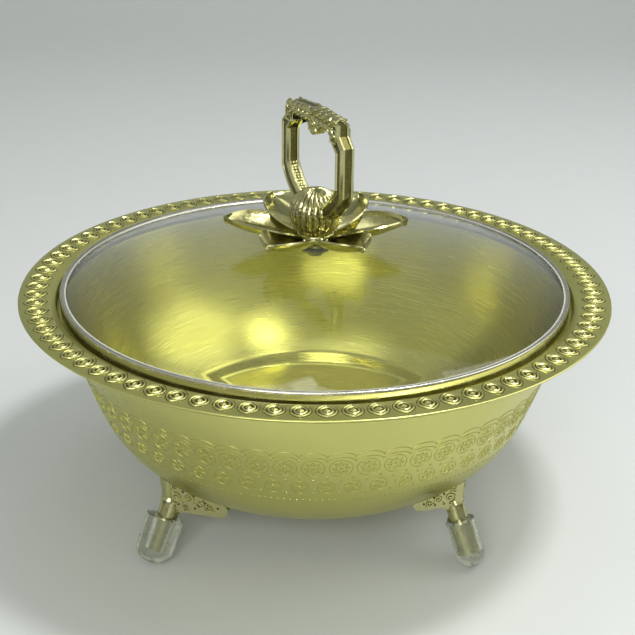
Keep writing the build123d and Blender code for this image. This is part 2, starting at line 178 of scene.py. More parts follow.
@dataclass(frozen=True)
class Finish:
    """A surface finish, made once as a material.

    The spots vary the roughness and blend towards the deeper colour, unless the hollows of the shape do that:
    then the hollows take the deeper colour as painted shade.
    """

    name: str
    colour: str
    metallic: float = 0.0
    roughness: float = 0.5
    transmission: float = 0.0
    spots: Spots | None = None
    relief: Relief | None = None
    deep: str = ""
    # Pointiness below which hollows take the deeper colour as painted shade.
    hollow_shade: float = 0.0

    def make(self) -> bpy.types.Material:
        """Build the material.

        Returns:
            The finished material, reused when it already exists.
        """
        ready = bpy.data.materials.get(self.name)
        if ready:
            return ready
        material = bpy.data.materials.new(self.name)
        material.use_nodes = True
        shader = material.node_tree.nodes["Principled BSDF"]
        feed(shader, {"Base Color": linear(self.colour), "Metallic": self.metallic,
                      "Roughness": self.roughness})
        if self.transmission:
            feed(shader, {"IOR": GLASS_IOR, "Transmission Weight": self.transmission})
        self.grain(shader)
        return material

    def grain(self, shader: Node) -> None:
        """Draw the spots, the deeper colour and the relief.

        Args:
            shader: Principled shader of the material.
        """
        tree = shader.id_data
        spot = None
        if self.spots:
            spot = self.soft_noise(tree, self.spots.size_mm, self.spots.detail)
            self.dull(shader, spot, self.spots.low, self.spots.high)
        if self.hollow_shade:
            # Painted shade: concave places (low pointiness) blend towards the deeper colour.
            shape = add_node(tree, "ShaderNodeNewGeometry").outputs["Pointiness"]
            self.tint(shader, ramp(tree, shape, (self.hollow_shade, 0.5), (1.0, 0.0)))
        elif self.deep:
            self.tint(shader, spot)
        if self.relief:
            own = self.relief.size_mm
            height = self.soft_noise(tree, own, self.relief.detail) if own else spot
            self.emboss(shader, height, self.relief)

    def place(self, tree: Tree) -> Socket:
        """Give the object coordinates, in metres."""
        return add_node(tree, "ShaderNodeTexCoord").outputs["Object"]

    def soft_noise(self, tree: Tree, size_mm: float, detail: float) -> Socket:
        """Give a soft noise in real millimetres."""
        inputs = {"Vector": self.place(tree), "Scale": 1 / (size_mm * MM), "Detail": detail}
        return add_node(tree, "ShaderNodeTexNoise", inputs).outputs["Fac"]

    def dull(self, shader: Node, value: Socket, low: float, high: float) -> None:
        """Let a noise drive the roughness between two values."""
        feed(shader, {"Roughness": ramp(shader.id_data, value, (0.3, 0.7), (low, high))})

    def tint(self, shader: Node, amount: Socket) -> None:
        """Blend the base colour towards the deeper one.

        Args:
            shader: Principled shader of the material.
            amount: Share of the deeper colour at each point.
        """
        mix = {"Factor": amount, 6: linear(self.colour), 7: linear(self.deep)}
        mixed = add_node(shader.id_data, "ShaderNodeMix", mix, data_type="RGBA").outputs[2]
        feed(shader, {"Base Color": mixed})

    def emboss(self, shader: Node, height: Socket, relief: Relief) -> None:
        """Give the surface a fine bump from a height of 0 to 1."""
        inputs = {"Height": height, "Distance": relief.depth_mm * MM, "Strength": relief.strength}
        feed(shader, {"Normal": add_node(shader.id_data, "ShaderNodeBump", inputs).outputs["Normal"]})


@dataclass(frozen=True)
class SatinPlate(Finish):
    """Pale champagne-gold plating over a fine satin blast on spun steel, stippled all over round the lace.

    It reflects broad soft shapes, with faint clouds where the plating bath ran thicker.
    """

    name: str = "satin_gold_plate_stippled"
    colour: str = "#D0CE80"
    metallic: float = 1.0
    spots: Spots = Spots(45.0, 0.26, 0.36)
    deep: str = "#C6C474"
    field_top: float = 104.0
    field_low: float = 60.0
    fade_top: float = 5.0
    fade_low: float = 12.0
    # The etched dots are about 0.4 mm; they are drawn at 1.1 mm so that they show.
    stipple_mm: float = 1.1
    etch: Relief = Relief(0.12, 0.55)

    def grain(self, shader: Node) -> None:
        """Draw the plating clouds, and the stipple between two heights.

        Args:
            shader: Principled shader of the material.
        """
        Finish.grain(self, shader)
        tree = shader.id_data
        height = add_node(tree, "ShaderNodeSeparateXYZ", {"Vector": self.place(tree)}).outputs["Z"]
        above = ramp(tree, height, ((self.field_low - self.fade_low) * MM, self.field_low * MM))
        below = ramp(tree, height, ((self.field_top - self.fade_top) * MM, self.field_top * MM), (1.0, 0.0))
        dots = add_node(tree, "ShaderNodeTexVoronoi",
                        {"Vector": self.place(tree), "Scale": 1 / (self.stipple_mm * MM)}).outputs["Distance"]
        band = compute(tree, "MULTIPLY", above, below)
        self.emboss(shader, compute(tree, "MULTIPLY", dots, band), self.etch)


@dataclass(frozen=True)
class EtchedPlate(Finish):
    """The same plating where acid has bitten it: duller, a little darker and frosted."""

    name: str = "etched_gold_plate"
    colour: str = "#C6C476"
    metallic: float = 1.0
    spots: Spots = Spots(0.7, 0.4, 0.6, 4.0)
    relief: Relief = Relief(0.05, 0.6)
    deep: str = "#A29F56"


@dataclass(frozen=True)
class StampedPlate(Finish):
    """The plating on sharply stamped sheet, with painted shade: its grooves and hollows take a deeper colour.
    """

    name: str = "stamped_gold_plate"
    colour: str = "#C6C47E"
    metallic: float = 1.0
    spots: Spots = Spots(2.5, 0.24, 0.4)
    relief: Relief = Relief(0.03, 0.3)
    # Painted shade colour of the grooves and hollows.
    deep: str = "#7A752C"
    hollow_shade: float = 0.42


@dataclass(frozen=True)
class GrooveShadePlate(Finish):
    """Painted shade on the bottom of the stamped outline: a dark plate colour where shade falls in the
    grooves.
    """

    name: str = "painted_groove_shade"
    colour: str = "#5E5A2A"
    metallic: float = 1.0
    spots: Spots = Spots(1.5, 0.35, 0.6)
    deep: str = "#565220"


@dataclass(frozen=True)
class LatheBrushedPlate(Finish):
    """Gold plating over steel brushed on a lathe.

    The brush leaves rings round the axis, so highlights stretch into bright wedges across them.
    """

    name: str = "lathe_brushed_gold_plate"
    colour: str = "#E0DC78"
    metallic: float = 1.0
    roughness: float = 0.3
    relief: Relief = Relief(0.03, 0.4)
    deep: str = "#B4AE48"
    ring_mm: float = 0.6
    stroke: float = 5.0
    anisotropy: float = 0.65

    def grain(self, shader: Node) -> None:
        """Draw rings of fine brush strokes and the stretched highlight.

        Args:
            shader: Principled shader of the material.
        """
        tree = shader.id_data
        tangent = add_node(tree, "ShaderNodeTangent", direction_type="RADIAL", axis="Z").outputs["Tangent"]
        feed(shader, {"Anisotropic": self.anisotropy, "Anisotropic Rotation": 0.25, "Tangent": tangent})
        split = add_node(tree, "ShaderNodeSeparateXYZ", {"Vector": self.place(tree)}).outputs
        flat = add_node(tree, "ShaderNodeCombineXYZ", {"X": split["X"], "Y": split["Y"]}).outputs["Vector"]
        radius = add_node(tree, "ShaderNodeVectorMath", {0: flat}, operation="LENGTH").outputs["Value"]
        around = add_node(tree, "ShaderNodeVectorMath", {0: flat}, operation="NORMALIZE").outputs["Vector"]
        direction = add_node(tree, "ShaderNodeSeparateXYZ", {"Vector": around}).outputs
        stroke = {axis: compute(tree, "MULTIPLY", direction[axis], self.stroke) for axis in ("X", "Y")}
        depth = compute(tree, "ADD", radius, split["Z"])
        stroke["Z"] = compute(tree, "MULTIPLY", depth, 1 / (self.ring_mm * MM))
        spot = add_node(tree, "ShaderNodeCombineXYZ", stroke).outputs["Vector"]
        brush = add_node(tree, "ShaderNodeTexNoise", {"Vector": spot, "Scale": 1.0, "Detail": 4.0,
                                                      "Roughness": 0.65}).outputs["Fac"]
        self.dull(shader, brush, self.roughness - 0.08, self.roughness + 0.1)
        self.tint(shader, brush)
        self.emboss(shader, brush, self.relief)


@dataclass(frozen=True)
class CastPlate(Finish):
    """Bright pale-gold plating on a zinc die casting.

    Hollows take a darker, browner tone as painted shade, and the skin has a faint orange peel.
    """

    name: str = "bright_gold_casting"
    colour: str = "#B8B582"
    metallic: float = 1.0
    spots: Spots = Spots(1.6, 0.12, 0.24)
    relief: Relief = Relief(0.06, 0.5)
    # Painted shade colour of the hollows.
    deep: str = "#6A6230"
    hollow_shade: float = 0.44


@dataclass(frozen=True)
class CastChannelShade(Finish):
    """Painted shade on the floor of a cast channel: a darker, duller plate colour."""

    name: str = "painted_channel_shade"
    colour: str = "#7C7846"
    metallic: float = 1.0
    spots: Spots = Spots(1.4, 0.22, 0.42)
    relief: Relief = Relief(0.04, 0.4)
    deep: str = "#4E4A26"


@dataclass(frozen=True)
class HoleShadeDisc(Finish):
    """Painted shade for a cast hole: a dull dark brown-green disc in place of the shade inside the hole."""

    name: str = "painted_hole_shade"
    colour: str = "#3E3A1E"
    metallic: float = 0.6
    spots: Spots = Spots(0.8, 0.45, 0.75)
    deep: str = "#57502A"


@dataclass(frozen=True)
class RolledSteel(Finish):
    """Stainless strip, rolled and polished: cool grey with scuffs and lengthwise draw lines."""

    name: str = "rolled_stainless"
    colour: str = "#C6C4B2"
    metallic: float = 1.0
    spots: Spots = Spots(6.0, 0.14, 0.32, 4.0)
    relief: Relief = Relief(0.02, 0.25, 0.5)


@dataclass(frozen=True)
class TemperedGlass(Finish):
    """Clear tempered soda-lime glass, pressed and fire polished, with a slow ripple and faint green depth."""

    name: str = "tempered_glass"
    colour: str = "#FBFDFB"
    roughness: float = 0.0
    transmission: float = 1.0
    relief: Relief = Relief(0.2, 0.15, 60.0, 1.0)


@dataclass(frozen=True)
class ClearPlastic(Finish):
    """Clear soft PVC, dip moulded: thick, glossy, slightly milky at the edges, with handling smears."""

    name: str = "clear_pvc"
    colour: str = "#E8EADB"
    transmission: float = 0.93
    spots: Spots = Spots(5.0, 0.12, 0.3)
    relief: Relief = Relief(0.15, 0.4)


@dataclass(frozen=True)
class Silicone(Finish):
    """Translucent grey silicone, moulded: dull, a little cloudy, with a chalky bloom."""

    name: str = "grey_silicone"
    colour: str = "#B9B9B2"
    spots: Spots = Spots(2.0, 0.45, 0.65)
    deep: str = "#A5A59C"


@dataclass(frozen=True)
class PaleTable(Finish):
    """Pale matt laminate of the table and its curved back, faintly uneven."""

    name: str = "pale_laminate"
    colour: str = "#C6C9C8"
    spots: Spots = Spots(30.0, 0.46, 0.56)


@dataclass(frozen=True)
class ZincSteel(Finish):
    """Bright zinc-plated steel, tumbled: silvery with small dull spots."""

    name: str = "zinc_plated_steel"
    colour: str = "#C8CACB"
    metallic: float = 1.0
    spots: Spots = Spots(1.2, 0.2, 0.42)
    relief: Relief = Relief(0.03, 0.4)


# ---------------------------------------------------------------- bench tools


def polar(centre: Point, reach: float, turn: float) -> Point:
    """Point at a distance and angle from a centre."""
    return centre[0] + reach * math.cos(turn), centre[1] + reach * math.sin(turn)


def shift(x: float, y: float, z: float = 0.0) -> Matrix:
    """Matrix that moves along the axes."""
    return Matrix.Translation((x, y, z))


def swing(angle: float, axis: str) -> Matrix:
    """Matrix that turns about an axis, in radians."""
    return Matrix.Rotation(angle, 4, axis)


def arc_wall(start: Point, slope: float, radius: float, angle: float, end: Point,
             steps: int = 14) -> list[Point]:
    """Points of a rounded lower wall and the gentle arc that carries on from it.

    Args:
        start: Where the rounded wall leaves the floor (radius, height).
        slope: Its slope there, in degrees.
        radius: Radius of the rounding.
        angle: Degrees that the rounding turns through.
        end: Where the upper wall ends.
        steps: Points on each of the two arcs.

    Returns:
        Points from start to end.
    """
    first = math.radians(slope)
    centre = (start[0] - radius * math.sin(first), start[1] + radius * math.cos(first))
    points = []
    for step in range(steps + 1):
        turn = first + math.radians(angle) * step / steps
        points.append((centre[0] + radius * math.sin(turn), centre[1] - radius * math.cos(turn)))
    last = first + math.radians(angle)
    join = points[-1]
    normal = (-math.sin(last), math.cos(last))
    chord = (end[0] - join[0], end[1] - join[1])
    lean = chord[0] * normal[0] + chord[1] * normal[1]
    reach = (chord[0] ** 2 + chord[1] ** 2) / (2 * lean)
    middle = (join[0] + normal[0] * reach, join[1] + normal[1] * reach)
    begin = math.atan2(join[1] - middle[1], join[0] - middle[0])
    finish = math.atan2(end[1] - middle[1], end[0] - middle[0])
    sweep = (finish - begin + math.pi) % TURN - math.pi
    for step in range(1, steps + 1):
        points.append(polar(middle, abs(reach), begin + sweep * step / steps))
    return points


def soften(points: list[Point], radius: float, steps: int = 4) -> list[Point]:
    """Round the corners of an open outline.

    Args:
        points: Corners of the outline.
        radius: Length cut from each side of a corner, at most 45% of a side.
        steps: Points on each rounded corner, less one.

    Returns:
        The outline with rounded corners.
    """
    result = [points[0]]
    for before, corner, after in zip(points, points[1:], points[2:]):
        into, away = Vector(before) - Vector(corner), Vector(after) - Vector(corner)
        cut = min(radius, 0.45 * into.length, 0.45 * away.length)
        first, last = Vector(corner) + into.normalized() * cut, Vector(corner) + away.normalized() * cut
        for step in range(steps + 1):
            t = step / steps
            spot = first * (1 - t) ** 2 + Vector(corner) * 2 * t * (1 - t) + last * t**2
            result.append((spot.x, spot.y))
    result.append(points[-1])
    return result


def bend(start: Point, through: Point, end: Point, steps: int = 8) -> list[Point]:
    """Points of a smooth curve.

    Args:
        start: Its first point.
        through: Where it is halfway.
        end: Its last point.
        steps: Steps along it.

    Returns:
        Points from start to end.
    """
    pull = [2 * through[i] - (start[i] + end[i]) / 2 for i in range(2)]
    return [tuple(start[i] * (1 - t) ** 2 + pull[i] * 2 * t * (1 - t) + end[i] * t**2 for i in range(2))
            for t in (k / steps for k in range(steps + 1))]


def lathe(outline: list[Point], segments: int = 160, closed: bool = False) -> Mesh:
    """Spin an outline round the dish axis.

    Args:
        outline: Points (radius, height) in millimetres.
        segments: Steps of the spin.
        closed: Whether the last point joins the first.

    Returns:
        The turned shape, in metres.
    """
    bm = bmesh.new()
    verts = [bm.verts.new((r * MM, 0, z * MM)) for r, z in outline]
    pairs = list(zip(verts, verts[1:])) + ([(verts[-1], verts[0])] if closed else [])
    edges = [bm.edges.new(pair) for pair in pairs]
    bmesh.ops.spin(bm, geom=verts + edges, cent=(0, 0, 0), axis=(0, 0, 1), angle=TURN, steps=segments,
                   use_merge=True)
    bmesh.ops.remove_doubles(bm, verts=bm.verts, dist=WELD)
    bmesh.ops.recalc_face_normals(bm, faces=bm.faces)
    return bm


def repeat_round(bm: Mesh, count: int) -> None:
    """Copy everything in a mesh round the dish axis.

    Args:
        bm: Mesh that holds the first copy.
        count: Copies in a full circle.
    """
    first = bm.verts[:] + bm.edges[:] + bm.faces[:]
    for index in range(1, count):
        copy = bmesh.ops.duplicate(bm, geom=first)["geom"]
        verts = [item for item in copy if isinstance(item, Vert)]
        turn = Matrix.Rotation(TURN * index / count, 3, "Z")
        bmesh.ops.rotate(bm, verts=verts, cent=(0, 0, 0), matrix=turn)


def move_points(bm: Mesh, shape: Callable[[Vector], Vector]) -> None:
    """Reshape a mesh by moving each of its points.

    Args:
        bm: The mesh.
        shape: Gives a point's new place from its old one.
    """
    for vert in bm.verts:
        vert.co = shape(vert.co.copy())


def raised_line(bm: Mesh, place: Placer, path: list[Point], width: float, height: float = 0.22,
                closed: bool = False) -> None:
    """Draw a fine raised line on a surface.

    Args:
        bm: Mesh that receives the line.
        place: Puts a point of the flat drawing, and a lift off the metal, in the dish frame.
        path: Points of the line in the flat drawing, in millimetres.
        width: Width of the line.
        height: Height of its crest.
        closed: Whether the line joins up.
    """
    rows = []
    count = len(path)
    for index, (x, y) in enumerate(path):
        before = path[(index - 1) % count] if closed or index else path[index]
        after = path[(index + 1) % count] if closed or index < count - 1 else path[index]
        along = Vector((after[0] - before[0], after[1] - before[1])).normalized()
        side = Vector((-along.y, along.x)) * width / 2
        rows.append([bm.verts.new(place(x + side.x * k, y + side.y * k, lift))
                     for k, lift in ((-1, -SUNK), (-0.4, height), (0.4, height), (1, -SUNK))])
    pairs = list(zip(rows, rows[1:])) + ([(rows[-1], rows[0])] if closed else [])
    for a, b in pairs:
        for k in range(3):
            bm.faces.new((a[k], b[k], b[k + 1], a[k + 1]))


def pip(bm: Mesh, place: Placer, centre: Point, size: float, height: float = 0.3,
        sides: int = 6) -> None:
    """Raise a small round pip on a surface.

    Args:
        bm: Mesh that receives the pip.
        place: Puts a point of the flat drawing in the dish frame.
        centre: Centre of the pip in the flat drawing.
        size: Its radius.
        height: Its height.
        sides: Corners of its outline.
    """
    turns = [TURN * k / sides for k in range(sides)]
    rings = [[bm.verts.new(place(*polar(centre, size * share, t), lift)) for t in turns]
             for share, lift in ((1.0, -SUNK), (0.72, 0.7 * height))]
    top = bm.verts.new(place(centre[0], centre[1], height))
    for k in range(sides):
        after = (k + 1) % sides
        bm.faces.new((rings[0][k], rings[0][after], rings[1][after], rings[1][k]))
        bm.faces.new((rings[1][k], rings[1][after], top))


def leaf(bm: Mesh, place: Matrix, length: float, width: float, height: float) -> None:
    """Add a small cast leaf: a blunt oval with a sharp spine.

    Args:
        bm: Mesh that receives the leaf, in millimetres.
        place: Frame of the leaf: X along it, Z off the surface.
        length: Its length.
        width: Its width.
        height: Height of its spine.
    """
    made = bmesh.ops.create_uvsphere(bm, u_segments=10, v_segments=6, radius=1.0)["verts"]
    for vert in made:
        x, y, z = vert.co
        spine = height * max(z, -0.4) * (1 - 0.45 * abs(y))
        vert.co = place @ Vector((x * length / 2, y * width / 2 * (1 - 0.35 * x), spine))


def make_object(name: str, bm: Mesh, *finishes: Finish) -> bpy.types.Object:
    """Turn a mesh under construction into a smooth object of the scene.

    Args:
        name: Name of the object.
        bm: The mesh, in metres. It is freed.
        *finishes: What it is made of, in the order of its material indices.

    Returns:
        The object.
    """
    mesh = bpy.data.meshes.new(name)
    bm.to_mesh(mesh)
    bm.free()
    mesh.polygons.foreach_set("use_smooth", [True] * len(mesh.polygons))
    for finish in finishes:
        mesh.materials.append(finish.make())
    thing = bpy.data.objects.new(name, mesh)
    bpy.context.scene.collection.objects.link(thing)
    return thing


@dataclass
class Piece:
    """One finished piece of the object."""

    name: str
    body: Body
    slot: Slot
    finish: Finish
    replaces: tuple[str, ...] = ()
    crease: float = 35.0
    second: Finish | None = None

    def finish_mesh(self, bm: Mesh) -> None:
        """Turn a mesh under construction into the piece, riding on its body.

        Args:
            bm: Mesh in the dish frame, in metres. It is freed.
        """
        thing = make_object(self.name, bm, *filter(None, (self.finish, self.second)))
        thing.data.set_sharp_from_angle(angle=math.radians(self.crease))
        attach(thing, self.body.value)
        if self.replaces:
            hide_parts(*self.replaces)
        LOG.info("%s: %d faces", self.name, len(thing.data.polygons))


# ---------------------------------------------------------------- outer bowl


@dataclass
class OuterBowl:
    """Spun outer bowl with its medallion flange and etched lace wall. Sizes in millimetres."""

    wall: float = 1.2
    depth: float = 110.0
    flange: float = 21.4
    slope_width: float = 4.9
    slope_drop: float = 2.4
    lip: float = 2.0
    ledge: float = 4.4
    ledge_depth: float = 8.0
    flare: float = 79.2
    arc_radius: float = 65.0
    arc_angle: float = 69.0
    medallions: int = 82
    medallion_band: float = 13.2
    medallion_half_length: float = 6.5
    medallion_edge: float = 3.4
    groove_height: float = 0.3
    bud: float = 0.35
    scallops: int = 60
    lace_radius: float = 142.0
    rim: float = field(init=False)
    radius: float = field(init=False)

    def __post_init__(self) -> None:
        """Read the rim from the frame."""
        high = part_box("outer_bowl")[1]
        self.rim = high.z / MM
        self.radius = high.x / MM

    @property
    def mouth(self) -> float:
        """Inside radius of the recess under the flange."""
        return self.radius - self.flange

    @property
    def floor_radius(self) -> float:
        """Radius of the flat floor."""
        return self.mouth - self.ledge + self.wall - self.flare

    def outer_wall(self) -> list[Point]:
        """Outline of the outside from the floor up to the ledge."""
        end = (self.mouth - self.ledge + self.wall, self.rim - self.ledge_depth - self.wall)
        return arc_wall((self.floor_radius, self.rim - self.depth), 0, self.arc_radius, self.arc_angle, end)

    def inner_wall(self) -> list[Point]:
        """Outline of the inside from the floor up to the ledge."""
        start = (self.floor_radius, self.rim - self.depth + self.wall)
        end = (self.mouth - self.ledge, self.rim - self.ledge_depth)
        return arc_wall(start, 0, self.arc_radius - self.wall, self.arc_angle, end)

    def sheet(self) -> Mesh:
        """Turn the whole sheet from one outline."""
        ledge_top = self.rim - self.ledge_depth
        foot = self.rim - self.slope_drop
        under = self.rim - self.wall
        neck = self.mouth + self.wall
        crest = self.mouth + self.slope_width
        out = self.radius
        outer = self.outer_wall()
        inner = self.inner_wall()
        rim = [outer[-1], (neck, ledge_top - self.wall), (neck, foot - self.wall), (crest, under),
               (out - 3 * self.wall, under), (out - 2.2 * self.wall, self.rim - self.lip),
               (out - 1.3 * self.wall, self.rim - self.lip), (out, self.rim - 0.5), (out - 0.5, self.rim),
               (crest, self.rim), (self.mouth, foot), (self.mouth, ledge_top), inner[-1]]
        floor_low = self.rim - self.depth
        outline = [(0, floor_low)] + outer + soften(rim, 0.6)[1:-1] + inner[::-1]
        return lathe(outline + [(0, floor_low + self.wall)], 200)

    def medallion_ring(self) -> Mesh:
        """Ring of stamped medallions: two raised pointed ovals round a small four-sided bud."""
        blank = [(0.0, 1.1), (0.16, 0.85), (0.3, 0.15), (0.38, 0.1), (0.46, 0.5), (0.56, 0.75), (0.66, 0.45),
                 (0.72, 0.14), (0.79, 0.2), (0.87, 0.65), (0.94, 0.5), (0.99, 0.1), (1.07, 0.04), (1.1, -0.4)]
        bm = lathe(blank, 24)
        # Faces below the groove height take the second material, the painted groove shade.
        for face in bm.faces:
            face.material_index = int(face.calc_center_median().z < self.groove_height * MM)
        ring = self.radius - self.medallion_band / 2 - self.medallion_edge

        def press(spot: Vector) -> Vector:
            """Give the round blank its pointed oval outline and its bud facets."""
            share = math.hypot(spot.x, spot.y) / MM
            around = math.atan2(spot.y, spot.x)
            side = abs(math.sin(around))
            reach = self.medallion_half_length - 2.2 * side + 1.1 * side**2
            length = share * reach
            height = spot.z / MM
            if 0 < share < self.bud:
                length *= 1.2 / (abs(math.cos(around)) + side)
            return Vector(((ring + length * math.cos(around)) * MM, length * math.sin(around) * MM,
                           (self.rim + 0.02 + height) * MM))

        move_points(bm, press)
        repeat_round(bm, self.medallions)
        return bm

    def lace_point(self, across: float, down: float, lift: float) -> Vector:
        """Place a point of the flat lace drawing on the outside of the bowl.

        Args:
            across: Distance round the bowl at the top of the lace, in millimetres.
            down: Distance down the wall from the ledge.
            lift: Height above the metal.

        Returns:
            The point in the dish frame, in metres.
        """
        outline = self.outer_wall()[::-1]
        left = down
        for (r0, z0), (r1, z1) in zip(outline, outline[1:]):
            length = math.hypot(r1 - r0, z1 - z0)
            if left <= length:
                break
            left -= length
        t = left / length
        radius, height = r0 + (r1 - r0) * t, z0 + (z1 - z0) * t
        out_r, out_z = (z0 - z1) / length, (r1 - r0) / length
        turn = across / self.lace_radius
        radius += lift * out_r
        return Vector((radius * math.cos(turn) * MM, radius * math.sin(turn) * MM,
                       (height + lift * out_z) * MM))

    def lace(self) -> Mesh:
        """Scalloped lace band: double scallops over a row of rosettes, buds and dots."""
        bm = bmesh.new()
        pitch = TURN * self.lace_radius / self.scallops
        half = pitch / 2
        for lift, width in ((0.0, 0.6), (2.8, 0.45)):
            arch = [(-half * math.cos(t), 31.5 + lift - (3.6 - 0.25 * lift) * math.sin(t))
                    for t in (math.pi * k / 10 for k in range(11))]
            raised_line(bm, self.lace_point, arch, width)
        self.rosette(bm, (0.0, 39.6), 6.3, 8)
        self.rosette(bm, (half, 55.0), 5.0, 6)
        for k in range(4):
            pip(bm, self.lace_point, ((k - 1.5) * pitch / 4, 66.0), 0.8)
        for across, down, size in ((half, 33.8, 0.9), (half, 47.0, 1.0), (0.0, 49.4, 0.9), (0.0, 60.0, 0.8)):
            pip(bm, self.lace_point, (across, down), size)
        repeat_round(bm, self.scallops)
        bmesh.ops.recalc_face_normals(bm, faces=bm.faces)
        return bm

    def rosette(self, bm: Mesh, centre: Point, size: float, petals: int) -> None:
        """Draw a small flower inside a ring.

        Args:
            bm: Mesh that receives the flower.
            centre: Its centre, round and down the wall.
            size: Outer radius.
            petals: Petals of the flower.
        """
        ring = [polar(centre, size, TURN * k / 20) for k in range(20)]
        raised_line(bm, self.lace_point, ring, 0.45, closed=True)
        turns = [TURN * k / (petals * 4) for k in range(petals * 4)]
        flower = [polar(centre, size * (0.56 + 0.2 * math.cos(petals * t)), t) for t in turns]
        raised_line(bm, self.lace_point, flower, 0.5, closed=True)
        pip(bm, self.lace_point, centre, size * 0.2)

    def build(self) -> None:
        """Make and dress the bowl."""
        Piece("bowl_sheet", Body.STAND, Slot.SHEET, SatinPlate(), ("outer_bowl",)).finish_mesh(self.sheet())
        # The second finish paints shade into the medallion grooves.
        Piece("flange_medallions", Body.STAND, Slot.SHEET, StampedPlate(), crease=24,
              second=GrooveShadePlate()).finish_mesh(self.medallion_ring())
        Piece("etched_lace", Body.STAND, Slot.SHEET, EtchedPlate()).finish_mesh(self.lace())


@dataclass
class FoodPan:
    """Inner pan with its rim, rounded wall and floor step. Sizes in millimetres."""

    wall: float = 1.2
    flare: float = 56.0
    arc_radius: float = 90.0
    arc_angle: float = 41.0
    start_slope: float = 27.0
    rim_width: float = 5.8
    step_height: float = 7.8
    step_width: float = 3.0

    def build(self) -> None:
        """Make and dress the pan."""
        low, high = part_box("food_pan")
        rim_radius, rim_top = high.x / MM, high.z / MM
        floor = low.z / MM + self.wall
        mouth = rim_radius - self.rim_width
        foot = mouth - self.flare
        slope = math.radians(self.start_slope)
        in_start = (foot, floor + self.step_height)
        out_start = (foot + self.wall * math.sin(slope), in_start[1] - self.wall * math.cos(slope))
        inside = arc_wall(in_start, self.start_slope, self.arc_radius, self.arc_angle, (mouth, rim_top))
        outside = arc_wall(out_start, self.start_slope, self.arc_radius + self.wall, self.arc_angle,
                           (mouth + self.wall, rim_top - self.wall))
        rim = soften([inside[-2], inside[-1], (rim_radius, rim_top), (rim_radius, rim_top - self.wall),
                      outside[-1], outside[-2]], 0.5)
        step = soften([(0, floor), (foot - self.step_width, floor), in_start, inside[1]], 2.5, 6)
        under = soften([outside[1], out_start, (foot - self.step_width + self.wall * 0.5, floor - self.wall),
                        (0, floor - self.wall)], 2.5, 6)
        outline = step[:-1] + inside[1:-2] + rim + outside[-3:1:-1] + under
        pan = Piece("pan_sheet", Body.PAN, Slot.PAN, LatheBrushedPlate(), ("food_pan",))
        pan.finish_mesh(lathe(outline, 200))


# ---------------------------------------------------------------- lid


@dataclass
class GlassLid:
    """Domed glass in a rolled steel band. Sizes in millimetres."""

    thickness: float = 4.0
    rise: float = 23.6
    hole: float = 4.2
    band_width: float = 4.1
    band_wall: float = 0.8

    def glass(self) -> Mesh:
        """Turn the dome, with ground edges."""
        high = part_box("lid_glass")[1]
        edge, top = high.x / MM, high.z / MM
        sphere = (edge**2 + self.rise**2) / (2 * self.rise)

        def dome(radius: float, drop: float) -> Point:
            """Point on the dome or, dropped, on its underside."""
            return radius, top - sphere + math.sqrt((sphere - drop) ** 2 - radius**2)

        radii = [self.hole + (edge - self.hole) * k / 24 for k in range(25)]
        upper = [dome(r, 0.0) for r in radii]
        lower = [dome(r, self.thickness) for r in radii]
        corners = soften([upper[-2], upper[-1], lower[-1], lower[-2]], 0.7)
        outline = upper[:-2] + corners + lower[-3::-1]
        return lathe(outline, 160, closed=True)

    def band(self) -> Mesh:
        """Turn the rolled band with its rounded outside."""
        low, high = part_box("lid_band")
        out, foot, top = high.x / MM, low.z / MM, high.z / MM
        inner = out - self.band_width
        wall = out - self.band_wall
        section = [(wall - 0.4, foot + 0.02), (out - 0.45, foot + 0.02), (out - 0.1, foot + 2.4),
                   (out, foot + 4.8), (out - 0.1, top - 1.4), (out - 0.4, top - 0.3), (out - 1.1, top),
                   (out - 1.9, top - 0.12), (inner + 0.3, top - 1.0), (inner, top - 1.4),
                   (inner + 0.2, top - 1.7), (out - 2.0, top - 0.95), (wall - 0.2, top - 0.9),
                   (wall - 0.02, foot + 2.5),
                   (inner + 0.2, foot + 2.4), (inner + 0.2, foot + 1.8), (wall - 0.6, foot + 0.4)]
        closed = soften([section[-1]] + section + [section[0]], 0.35, 3)[1:-1]
        return lathe(closed, 160, closed=True)

    def build(self) -> None:
        """Make and dress the glass and the band."""
        Piece("dome_glass", Body.LID, Slot.GLASS, TemperedGlass(), ("lid_glass",)).finish_mesh(self.glass())
        Piece("rolled_band", Body.LID, Slot.BAND, RolledSteel(), ("lid_band",)).finish_mesh(self.band())


# ---------------------------------------------------------------- handle


